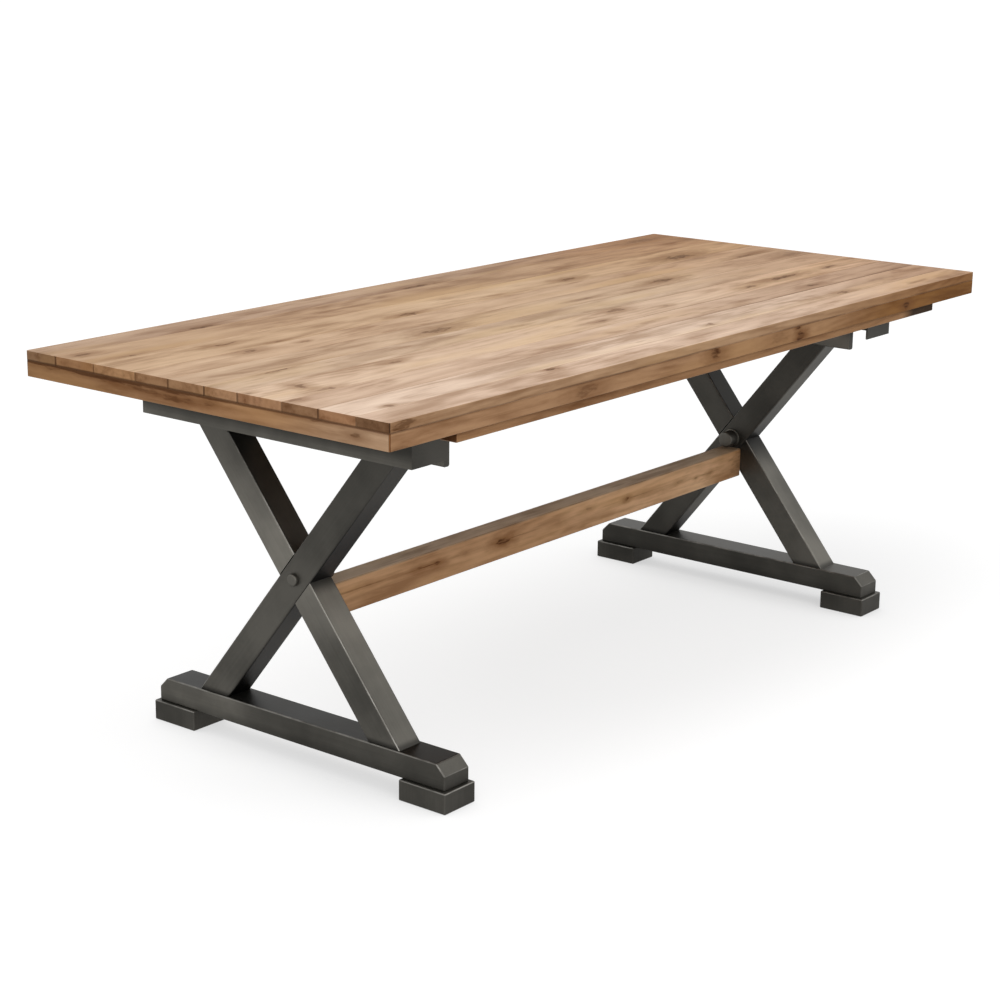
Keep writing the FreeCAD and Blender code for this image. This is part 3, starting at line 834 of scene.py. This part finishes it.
def steel_pair(name, look, steel):
    """The plain and the worn finish of a piece of steel."""
    return gunmetal(f"{name}_steel", look, steel), gunmetal(f"{name}_edge", look, steel, worn=True)


def zinc(name, look):
    """Plated screws with a cloudy shine."""
    material, shader, place = new_finish(name)
    clouds = shader.noise(shader.scaled(place, 160), 3.0)
    color = shader.blend(tinted(look.zinc, (0.7, 0.7, 0.7)), look.zinc, clouds)
    shader.surface({"Base Color": color, "Metallic": 1.0, "Roughness": 0.25 + clouds * 0.25})
    return material


def name_piece(name):
    """Name the active piece and its mesh."""
    piece = bpy.context.object
    piece.name = name
    piece.data.name = name
    return piece


def deselect():
    """Deselect every piece, because an operator acts on all that is selected."""
    bpy.ops.object.select_all(action="DESELECT")


def add_block(name, low, high):
    """A box between two corners, with its place in its mesh."""
    deselect()
    bpy.ops.mesh.primitive_cube_add(size=1, location=(low + high) / 2, scale=high - low)
    bpy.ops.object.transform_apply()
    return name_piece(name)


def choose(piece):
    """Make a piece the only one that is selected."""
    deselect()
    piece.select_set(True)
    bpy.context.view_layer.objects.active = piece


def copy_of(piece, name):
    """A copy of a piece with its own mesh."""
    choose(piece)
    bpy.ops.object.duplicate(linked=False)
    return name_piece(name)


def pick(piece, kind, picked):
    """Go into edit mode with just those edges or faces selected for which picked says yes."""
    choose(piece)
    bpy.ops.object.mode_set(mode="EDIT")
    bpy.ops.mesh.select_mode(type=kind)
    bpy.ops.mesh.select_all(action="DESELECT")
    bpy.ops.object.mode_set(mode="OBJECT")
    for item in piece.data.edges if kind == "EDGE" else piece.data.polygons:
        item.select = picked(item)
    bpy.ops.object.mode_set(mode="EDIT")


def bevel_edges(piece, picked, width, segments):
    """Bevel the edges for which picked says yes; it is given the edge's two end points."""
    pick(piece, "EDGE", lambda edge: picked(*(piece.data.vertices[index].co for index in edge.vertices)))
    bpy.ops.mesh.bevel(offset=width, segments=segments, affect="EDGES")
    bpy.ops.object.mode_set(mode="OBJECT")


def round_edges(piece, width, angle=SHARP_ANGLE):
    """Round all edges sharper than an angle, and keep the flats flat in the shading."""
    choose(piece)
    bpy.ops.object.shade_smooth()
    bpy.ops.object.modifier_add(type="BEVEL")
    bevel = piece.modifiers[-1]
    bevel.width = width
    bevel.segments = EDGE_SEGMENTS
    bevel.limit_method = "ANGLE"
    bevel.angle_limit = angle
    bevel.harden_normals = True
    bpy.ops.object.modifier_apply(modifier=bevel.name)


def cut_away(piece, point, outward):
    """Cut off what lies on the outward side of a plane, and close the cut."""
    choose(piece)
    bpy.ops.object.mode_set(mode="EDIT")
    bpy.ops.mesh.select_all(action="SELECT")
    bpy.ops.mesh.bisect(plane_co=point, plane_no=outward, use_fill=True, clear_outer=True)
    bpy.ops.object.mode_set(mode="OBJECT")


def flat_at(place):
    """A test for the flat round face that lies at a place along the table."""
    return lambda face: abs(face.normal.x) > 0.9 and abs(face.center.x - place) < TOUCHING


def round_rim(piece, place, width):
    """Round the rim of a disc at a place along the table."""
    def on_rim(start, end):
        return max(abs(start.x - place), abs(end.x - place)) < TOUCHING

    bevel_edges(piece, on_rim, width, RIM_SEGMENTS)


def inset_to(piece, radius):
    """Inset the selected end face of a disc to a smaller radius."""
    bpy.ops.mesh.inset(thickness=piece.dimensions.z / 2 - radius)


def step_face(piece, place, radius, depth):
    """Draw a round step out of a disc's inner face, or sink it as a blind hole, along the table."""
    pick(piece, "FACE", flat_at(place))
    inset_to(piece, radius)
    bpy.ops.mesh.extrude_region_move(TRANSFORM_OT_translate={"value": (depth, 0, 0)})
    bpy.ops.object.mode_set(mode="OBJECT")


def bore(piece, places, radius):
    """Bore a round hole through a disc between its two end faces."""
    for place in places:
        pick(piece, "FACE", flat_at(place))
        inset_to(piece, radius)
        bpy.ops.object.mode_set(mode="OBJECT")

    def is_cap(face):
        return any(flat_at(place)(face) for place in places) and len(face.vertices) > 4

    pick(piece, "FACE", is_cap)
    bpy.ops.mesh.bridge_edge_loops()
    bpy.ops.object.mode_set(mode="OBJECT")


def mark_worn(piece, flat_area, worn_turn):
    """Give the middle strip of every rounded edge the piece's second finish."""
    flats = [face.normal.copy() for face in piece.data.polygons if face.area > flat_area]
    for face in piece.data.polygons:
        turn = min(face.normal.angle(flat) for flat in flats)
        face.material_index = int(turn > worn_turn)


def finish_piece(piece, slot, nodes, *materials):
    """Put the finishes on a new piece, which then stands for its CAD nodes."""
    for material in materials:
        piece.data.materials.append(material)
    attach(piece, BODY)
    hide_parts(*nodes)


def dress(node, material):
    """Put a finish on a CAD node that stays."""
    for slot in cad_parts[node].material_slots:
        slot.material = material


def spots(knots, across, level, depth):
    """Knots on a face, in millimetres and percent, as places and reaches in space and shares of one.

    The face looks along the axis across, and lies at a level on it.
    """
    made = []
    for *lengths, strength in knots:
        *place, long, high = (length / 1000 for length in lengths)
        reach = [long, high]
        place.insert(across, level)
        reach.insert(across, depth)
        made.append((place, reach, strength / 100))
    return made


class SAWBUCK_OT_planks(bpy.types.Operator):
    """Build the ten planks of the top, each with its own grain and knots"""

    bl_idname = "sawbuck.planks"
    bl_label = "Top planks"

    def execute(self, context):
        sizes = context.scene.sawbuck_sizes
        look = context.scene.sawbuck_timber
        front, back = (corner.y for corner in cad_box)
        for number in PLANK_KNOTS:
            node = f"top_plank_{number:02d}"
            low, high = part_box(node)
            plank = add_block(f"{node}_board", low, high)
            outer = back if high.y > back - NEAR else front
            bevel_edges(
                plank,
                lambda start, end: abs(start.z - end.z) > NEAR and abs(start.y - outer) < NEAR,
                sizes.top_corner,
                CORNER_SEGMENTS,
            )
            round_edges(plank, sizes.plank_arris)
            finish = timber(f"plank_timber_{number:02d}", look, self.board(number, node, low, high))
            finish_piece(plank, "top_timber", [node], finish)
        return {"FINISHED"}

    def board(self, number, node, low, high):
        """The timber of one plank, with its own tones, knots, pips and joints."""
        front, back = (corner.y for corner in cad_box)
        knots = spots(PLANK_KNOTS[number], Z_AXIS, high.z, TOP_KNOT_DEPTH)
        if low.y < front + NEAR:
            knots += spots(PLANK_FRONT_KNOTS, Y_AXIS, front, PLANK_SIDE_KNOT_DEPTH)
        pips = [(x, y, *PIP_SIZE, strength) for x, y, strength in PLANK_PIPS.get(number, ())]
        joints = ((high.y, number - 2), (low.y, number - 1))
        return Board(
            node,
            LENGTHWISE,
            number,
            PLANK_TINTS[number - 1],
            knots=knots,
            pips=spots(pips, Z_AXIS, high.z, TOP_KNOT_DEPTH),
            seams=[(edge, *PLANK_JOINTS[joint]) for edge, joint in joints if abs(edge) < back - NEAR],
            crack=(low.z, PLANK_SPILL),
            heart_depth=HEART_LEAST + HEART_STEP * (number * 3 % 7),
            end_tone=PLANK_END_TONES[number - 1],
            far_shade=PLANK_FAR_SHADES[number - 1],
            **PLANK_TIMBER,
        )


class SAWBUCK_OT_frame_boards(bpy.types.Operator):
    """Build the mitred frame under the planks, and put timber on its bearers and battens"""

    bl_idname = "sawbuck.frame_boards"
    bl_label = "Frame boards"

    def execute(self, context):
        sizes = context.scene.sawbuck_sizes
        look = context.scene.sawbuck_timber
        low, high = (Vector(corner) for corner in cad_box)
        board_low, board_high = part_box("long_frame_front")
        low.z, high.z = board_low.z, board_high.z
        slab = add_block("frame_slab", low, high)
        bevel_edges(slab, lambda start, end: abs(start.z - end.z) > NEAR, sizes.top_corner, CORNER_SEGMENTS)
        round_edges(slab, sizes.frame_arris)
        for kind, sides, across in (("long_frame", ENDS, Y_AXIS), ("end_frame", SIDES, X_AXIS)):
            for side, way in zip(sides, (-1, 1)):
                node = f"{kind}_{side}"
                board = self.cut_board(slab, node, across, way, board_high.y - board_low.y)
                seen = FRAME_KNOTS[kind] if way < 0 else ()
                grain = Board(
                    node,
                    AXES[1 - across],
                    TIMBER_SEEDS[node],
                    knots=spots(seen, across, cad_box[0][across], SIDE_KNOT_DEPTH),
                    crack=(board_high.z, FRAME_SPILL),
                    **FRAME_TIMBER[kind],
                )
                finish_piece(board, "frame_timber", [node], timber(f"frame_timber_{side}", look, grain))
        bpy.data.meshes.remove(slab.data)
        self.dress_hidden_boards(look)
        return {"FINISHED"}

    def cut_board(self, slab, node, across, way, width):
        """Saw a board with mitred ends out of the slab, on one side of the axis that runs across it."""
        board = copy_of(slab, f"{node}_board")
        half, along = cad_box[1], 1 - across
        for end in (-1, 1):
            corner, outward = Vector(), Vector()
            corner[along], corner[across] = end * half[along], way * half[across]
            outward[along], outward[across] = end, -way
            corner.x -= MITRE_GLUE * outward.x
            cut_away(board, corner, outward.normalized())
        inner, outward = Vector(), Vector()
        inner[across], outward[across] = way * (half[across] - width), -way
        cut_away(board, inner, outward)
        return board

    def dress_hidden_boards(self, look):
        """Put timber on the battens and on the bearers under the planks."""
        for number, side in enumerate(ENDS):
            node = f"edge_batten_{side}"
            board = Board(node, LENGTHWISE, TIMBER_SEEDS["edge_batten"] + number, **BATTEN_TIMBER)
            dress(node, timber(f"batten_timber_{side}", look, board))
        for number, place in enumerate(("left", "center", "right")):
            node = f"cross_bearer_{place}"
            board = Board(node, CROSSWISE, TIMBER_SEEDS["cross_bearer"] + number, **BEARER_TIMBER)
            dress(node, timber(f"bearer_timber_{place}", look, board))


class SAWBUCK_OT_stretcher(bpy.types.Operator):
    """Put knotty timber on the stretcher, and steel on the spigots and screws that hold it"""

    bl_idname = "sawbuck.stretcher"
    bl_label = "Stretcher"

    def execute(self, context):
        look = context.scene.sawbuck_timber
        steel = context.scene.sawbuck_steel
        low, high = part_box("stretcher")
        board = Board(
            "stretcher",
            LENGTHWISE,
            TIMBER_SEEDS["stretcher"],
            knots=spots(STRETCHER_KNOTS, Y_AXIS, low.y, SIDE_KNOT_DEPTH),
            crack=(high.z, 0.0),
            **STRETCHER_TIMBER,
        )
        dress("stretcher", timber("stretcher_timber", look, board))
        spigot_steel = gunmetal("spigot_steel", steel, Steel())
        for side in SIDES:
            dress(f"stretcher_spigot_{side}", spigot_steel)
        screw_steel = zinc("screw_zinc", steel)
        for node in ("stretcher_screws", "rail_screws"):
            dress(node, screw_steel)
        return {"FINISHED"}


class SAWBUCK_OT_legs(bpy.types.Operator):
    """Build the crossed legs from square tubes, cut level at the rail and at the beam"""

    bl_idname = "sawbuck.legs"
    bl_label = "Crossed legs"

    def execute(self, context):
        sizes = context.scene.sawbuck_sizes
        steel = context.scene.sawbuck_steel
        for side in SIDES:
            low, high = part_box(f"leg_long_{side}")
            size = high.x - low.x
            reach, rise = high.y - low.y, high.z - low.z
            lean = acos(size / hypot(reach, rise)) - atan2(rise, reach)
            cross = (low + high) / 2
            cross.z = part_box(f"leg_lower_{side}")[1].z
            cross.y = 0
            for kind, tilt in (("long", lean), ("upper", -lean), ("lower", -lean)):
                node = f"leg_{kind}_{side}"
                leg = self.tube(f"{node}_tube", cross, size, rise * 2, tilt, sizes.leg_corner)
                cut_away(leg, Vector((0, 0, low.z)), Vector((0, 0, -1)))
                cut_away(leg, Vector((0, 0, high.z)), Vector((0, 0, 1)))
                if kind != "long":
                    away = Vector((0, -cos(lean), -sin(lean))) * (1 if kind == "upper" else -1)
                    cut_away(leg, cross - away * (size / 2), away)
                mark_worn(leg, size * size / 2, LEG_WORN_TURN)
                finishes = steel_pair(node, steel, Steel(lean=tilt, **LEG_STEEL[kind, side]))
                finish_piece(leg, "gunmetal", [node], *finishes)
        return {"FINISHED"}

    def tube(self, name, cross, size, length, tilt, corner):
        """A square bar with rounded long edges, tilted about the crossing."""
        deselect()
        bpy.ops.mesh.primitive_cube_add(
            size=1, location=cross, rotation=(tilt, 0, 0), scale=(size, size, length)
        )
        bpy.ops.object.transform_apply(location=False, rotation=False, scale=True)
        leg = name_piece(name)
        bevel_edges(leg, lambda start, end: abs(start.z - end.z) > size, corner, EDGE_SEGMENTS)
        choose(leg)
        bpy.ops.object.shade_flat()
        bpy.ops.object.transform_apply(location=True, rotation=True, scale=False)
        return leg


class SAWBUCK_OT_feet(bpy.types.Operator):
    """Build the foot beams with clipped ends, and the blocks that they stand on"""

    bl_idname = "sawbuck.feet"
    bl_label = "Feet"

    def execute(self, context):
        sizes = context.scene.sawbuck_sizes
        steel = context.scene.sawbuck_steel
        for side in SIDES:
            beam_finishes = steel_pair(f"beam_{side}", steel, Steel(upright=False, **BEAM_STEEL[side]))
            block_finishes = steel_pair(f"block_{side}", steel, Steel(**BLOCK_STEEL[side]))
            low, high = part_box(f"foot_beam_{side}")
            ends = [f"beam_end_{end}_{side}" for end in ENDS]
            for node in ends:
                end_low, end_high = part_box(node)
                low.y, high.y = min(low.y, end_low.y), max(high.y, end_high.y)
            beam = add_block(f"foot_beam_{side}_tube", low, high)
            bevel_edges(
                beam,
                lambda start, end: abs(start.x - end.x) > NEAR and start.z > high.z - NEAR,
                sizes.beam_clip,
                1,
            )
            round_edges(beam, sizes.foot_edge, BEAM_SHARP_ANGLE)
            mark_worn(beam, FOOT_FLAT_AREA, FOOT_WORN_TURN)
            finish_piece(beam, "gunmetal", [f"foot_beam_{side}", *ends], *beam_finishes)
            for end in ENDS:
                node = f"foot_block_{end}_{side}"
                block = add_block(f"{node}_pad", *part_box(node))
                round_edges(block, sizes.foot_edge)
                mark_worn(block, FOOT_FLAT_AREA, FOOT_WORN_TURN)
                finish_piece(block, "gunmetal", [node], *block_finishes)
        return {"FINISHED"}


class SAWBUCK_OT_rails(bpy.types.Operator):
    """Put gunmetal on the folded top rails, their end plates and the bars inside the legs"""

    bl_idname = "sawbuck.rails"
    bl_label = "Top rails"

    def execute(self, context):
        steel = context.scene.sawbuck_steel
        rail_steel = gunmetal("rail_steel", steel, Steel(**RAIL_STEEL))
        for side in SIDES:
            dress(f"top_rail_{side}", rail_steel)
            dress(f"leg_bar_{side}", rail_steel)
            for end in ENDS:
                dress(f"rail_plate_{end}_{side}", rail_steel)
        return {"FINISHED"}


class SAWBUCK_OT_bolts(bpy.types.Operator):
    """Build the round-headed bolts through the crosses, with their washers and closed nuts"""

    bl_idname = "sawbuck.bolts"
    bl_label = "Cross bolts"

    def execute(self, context):
        sizes = context.scene.sawbuck_sizes
        steel = context.scene.sawbuck_steel
        finish = gunmetal("bolt_steel", steel, Steel(**BOLT_STEEL))
        leg_low, leg_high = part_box("leg_long_left")
        self.finish_pair(self.bolt(sizes, leg_low.x, leg_high.x), "cross_bolts", finish)
        self.finish_pair(self.washer(sizes, leg_high.x), "bolt_washers", finish)
        self.finish_pair(self.nut(sizes, leg_high.x + sizes.washer_thickness), "bolt_nuts", finish)
        return {"FINISHED"}

    def disc(self, node, start, end):
        """A round disc on the left bolt's line, between two places along the table."""
        low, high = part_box(node)
        deselect()
        bpy.ops.mesh.primitive_cylinder_add(
            vertices=ROUND_SIDES,
            radius=(high.z - low.z) / 2,
            depth=end - start,
            location=((start + end) / 2, 0, (low.z + high.z) / 2),
            rotation=(0, radians(90), 0),
        )
        bpy.ops.object.transform_apply()
        return name_piece(f"{node}_turned")

    def bolt(self, sizes, outer, inner):
        """A round head outside the leg, with its shank through the leg into the nut."""
        head_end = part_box("cross_bolts")[0].x
        bolt = self.disc("cross_bolts", head_end, outer)
        round_rim(bolt, head_end, sizes.bolt_crown)
        reach = inner - outer + sizes.washer_thickness + sizes.nut_length / 2
        step_face(bolt, outer, sizes.bolt_shank, reach)
        return bolt

    def washer(self, sizes, seat):
        """A flat washer with rounded rims."""
        washer = self.disc("bolt_washers", seat, seat + sizes.washer_thickness)
        round_rim(washer, seat + sizes.washer_thickness, sizes.washer_edge)
        bore(washer, (seat, seat + sizes.washer_thickness), sizes.bolt_shank + BOLT_PLAY)
        return washer

    def nut(self, sizes, seat):
        """A closed nut with a rounded end and a blind hole for the bolt."""
        end = seat + sizes.nut_length
        nut = self.disc("bolt_nuts", seat, end)
        round_rim(nut, end, sizes.nut_edge)
        step_face(nut, seat, sizes.bolt_shank + BOLT_PLAY, sizes.nut_length * NUT_BORE)
        return nut

    def finish_pair(self, piece, node, finish):
        """Copy the left piece half a turn round the table's middle, and join the two."""
        other = copy_of(piece, f"{node}_other")
        bpy.ops.transform.rotate(value=pi, orient_axis="Z", center_override=(0, 0, 0))
        bpy.ops.object.transform_apply()
        choose(piece)
        other.select_set(True)
        bpy.ops.object.join()
        bpy.ops.object.shade_smooth_by_angle(angle=SMOOTH_ANGLE)
        finish_piece(piece, "bolt_steel", [node], finish)


class SAWBUCK_OT_stage(bpy.types.Operator):
    """Set up the camera, a white floor that keeps the table's shadow, and soft light"""

    bl_idname = "sawbuck.stage"
    bl_label = "Stage"

    def execute(self, context):
        scene = context.scene
        look = scene.sawbuck_stage
        scene.view_settings.view_transform = "Standard"
        self.add_camera(scene, look)
        self.add_floor(look)
        self.add_world(scene, look)
        for name, size, place in SOFTBOXES:
            power = getattr(look, f"{name}_power")
            self.add_softbox(scene, f"{name}_softbox", power, size, Vector(place))
        return {"FINISHED"}

    def add_camera(self, scene, look):
        """A camera at the photograph's viewing angle."""
        turn, rise, roll = look.camera_turn, look.camera_rise, look.camera_roll
        back = Vector((sin(turn) * cos(rise), -cos(turn) * cos(rise), sin(rise)))
        level = Vector((cos(turn), sin(turn), 0))
        upright = back.cross(level)
        right = level * cos(roll) + upright * sin(roll)
        up = upright * cos(roll) - level * sin(roll)
        camera = bpy.data.objects.new("camera", bpy.data.cameras.new("camera"))
        camera.data.lens = look.lens
        camera.data.sensor_width = SENSOR_WIDTH
        camera.data.clip_end = CLIP_END
        turned = Matrix((right, up, back)).transposed().to_4x4()
        camera.matrix_world = Matrix.Translation(look.camera_place) @ turned
        scene.collection.objects.link(camera)
        scene.camera = camera

    def seen_directly(self, shader, mirror_share):
        """One for rays from the camera, and a share of one for rays that come by gloss or through glass."""
        camera = shader.node("ShaderNodeLightPath", output="Is Camera Ray")
        glossy, through = camera.sibling("Is Glossy Ray"), camera.sibling("Is Transmission Ray")
        return shader.math("MAXIMUM", camera, shader.math("MAXIMUM", glossy, through) * mirror_share)

    def floor_brightness(self, shader, place):
        """How bright the floor shows: less in a painted shadow under the table and in corners, more away
        from it.
        """
        beside = shader.length(shader.local(place, SHADE_PLACE, SHADE_SIZE))
        settings, sockets = {"samples": CORNER_SAMPLES}, {"Distance": CORNER_REACH}
        open_share = shader.node("ShaderNodeAmbientOcclusion", settings, sockets, "AO")
        brightness = shader.step(beside, *SHADE_STEP) + shader.step(shader.length(place), *AWAY_STEP)
        return brightness * shader.step(open_share, *CORNER_STEP)

    def add_floor(self, look):
        """A floor that shows white, takes a soft shadow, partly painted, and is clear from below."""
        deselect()
        bpy.ops.mesh.primitive_plane_add(size=FLOOR_SIZE)
        floor = name_piece("floor")
        material, shader, place = new_finish("floor_paint")
        plain = shader.node("ShaderNodeBsdfDiffuse", {}, {"Color": shade_of(look.floor)})
        shadowed = shader.node("ShaderNodeBsdfDiffuse", {}, {"Color": shade_of(FLOOR_SHADOW)})
        white = {"Color": shade_of(WHITE), "Strength": self.floor_brightness(shader, place)}
        glow = shader.node("ShaderNodeEmission", {}, white)
        shown = shader.node("ShaderNodeAddShader", {}, {0: shadowed, 1: glow})
        seen = self.seen_directly(shader, FLOOR_MIRROR)
        mixed = shader.node("ShaderNodeMixShader", {}, {0: seen, 1: plain, 2: shown})
        below = shader.node("ShaderNodeNewGeometry", output="Backfacing")
        clear = shader.node("ShaderNodeBsdfTransparent")
        one_sided = shader.node("ShaderNodeMixShader", {}, {0: below, 1: mixed, 2: clear})
        shader.node("ShaderNodeOutputMaterial", {}, {"Surface": one_sided})
        floor.data.materials.append(material)

    def add_world(self, scene, look):
        """Even light from all round, which shows white behind the floor's edge."""
        scene.world = bpy.data.worlds.new("studio")
        shader = Shader(scene.world)
        even, white = (
            shader.node("ShaderNodeBackground", {}, {"Color": shade_of(WHITE), "Strength": strength})
            for strength in (look.ambient, 1.0)
        )
        seen = self.seen_directly(shader, 1.0)
        mixed = shader.node("ShaderNodeMixShader", {}, {0: seen, 1: even, 2: white})
        shader.node("ShaderNodeOutputWorld", {}, {"Surface": mixed})

    def add_softbox(self, scene, name, power, size, place):
        """A square softbox that faces the table."""
        lamp = bpy.data.lights.new(name, "AREA")
        lamp.shape = "SQUARE"
        lamp.size = size
        lamp.energy = power
        softbox = bpy.data.objects.new(name, lamp)
        softbox.location = place
        softbox.rotation_euler = (Vector(LIGHT_TARGET) - place).to_track_quat("-Z", "Y").to_euler()
        scene.collection.objects.link(softbox)


class SAWBUCK_PT_panel(bpy.types.Panel):
    """List the pieces and the stage"""

    bl_idname = "SAWBUCK_PT_panel"
    bl_label = "Sawbuck table"
    bl_space_type = "VIEW_3D"
    bl_region_type = "UI"
    bl_category = "Sawbuck table"

    def draw(self, context):
        for operator in OPERATORS:
            self.layout.operator(operator.bl_idname)
        for name, group in SETTINGS.items():
            box = self.layout.box()
            for key in group.__annotations__:
                box.prop(getattr(context.scene, name), key)


SETTINGS = {
    "sawbuck_timber": TimberLook,
    "sawbuck_steel": SteelLook,
    "sawbuck_sizes": TableSizes,
    "sawbuck_stage": StageLook,
}

OPERATORS = (
    SAWBUCK_OT_planks,
    SAWBUCK_OT_frame_boards,
    SAWBUCK_OT_stretcher,
    SAWBUCK_OT_legs,
    SAWBUCK_OT_feet,
    SAWBUCK_OT_rails,
    SAWBUCK_OT_bolts,
    SAWBUCK_OT_stage,
)


def register():
    for name, group in SETTINGS.items():
        bpy.utils.register_class(group)
        setattr(bpy.types.Scene, name, bpy.props.PointerProperty(type=group))
    for operator in OPERATORS:
        bpy.utils.register_class(operator)
    bpy.utils.register_class(SAWBUCK_PT_panel)


def unregister():
    bpy.utils.unregister_class(SAWBUCK_PT_panel)
    for operator in reversed(OPERATORS):
        bpy.utils.unregister_class(operator)
    for name, group in SETTINGS.items():
        delattr(bpy.types.Scene, name)
        bpy.utils.unregister_class(group)


def main():
    register()
    bpy.ops.sawbuck.planks()
    bpy.ops.sawbuck.frame_boards()
    bpy.ops.sawbuck.stretcher()
    bpy.ops.sawbuck.legs()
    bpy.ops.sawbuck.feet()
    bpy.ops.sawbuck.rails()
    bpy.ops.sawbuck.bolts()
    bpy.ops.sawbuck.stage()


if __name__ == "__main__":
    main()
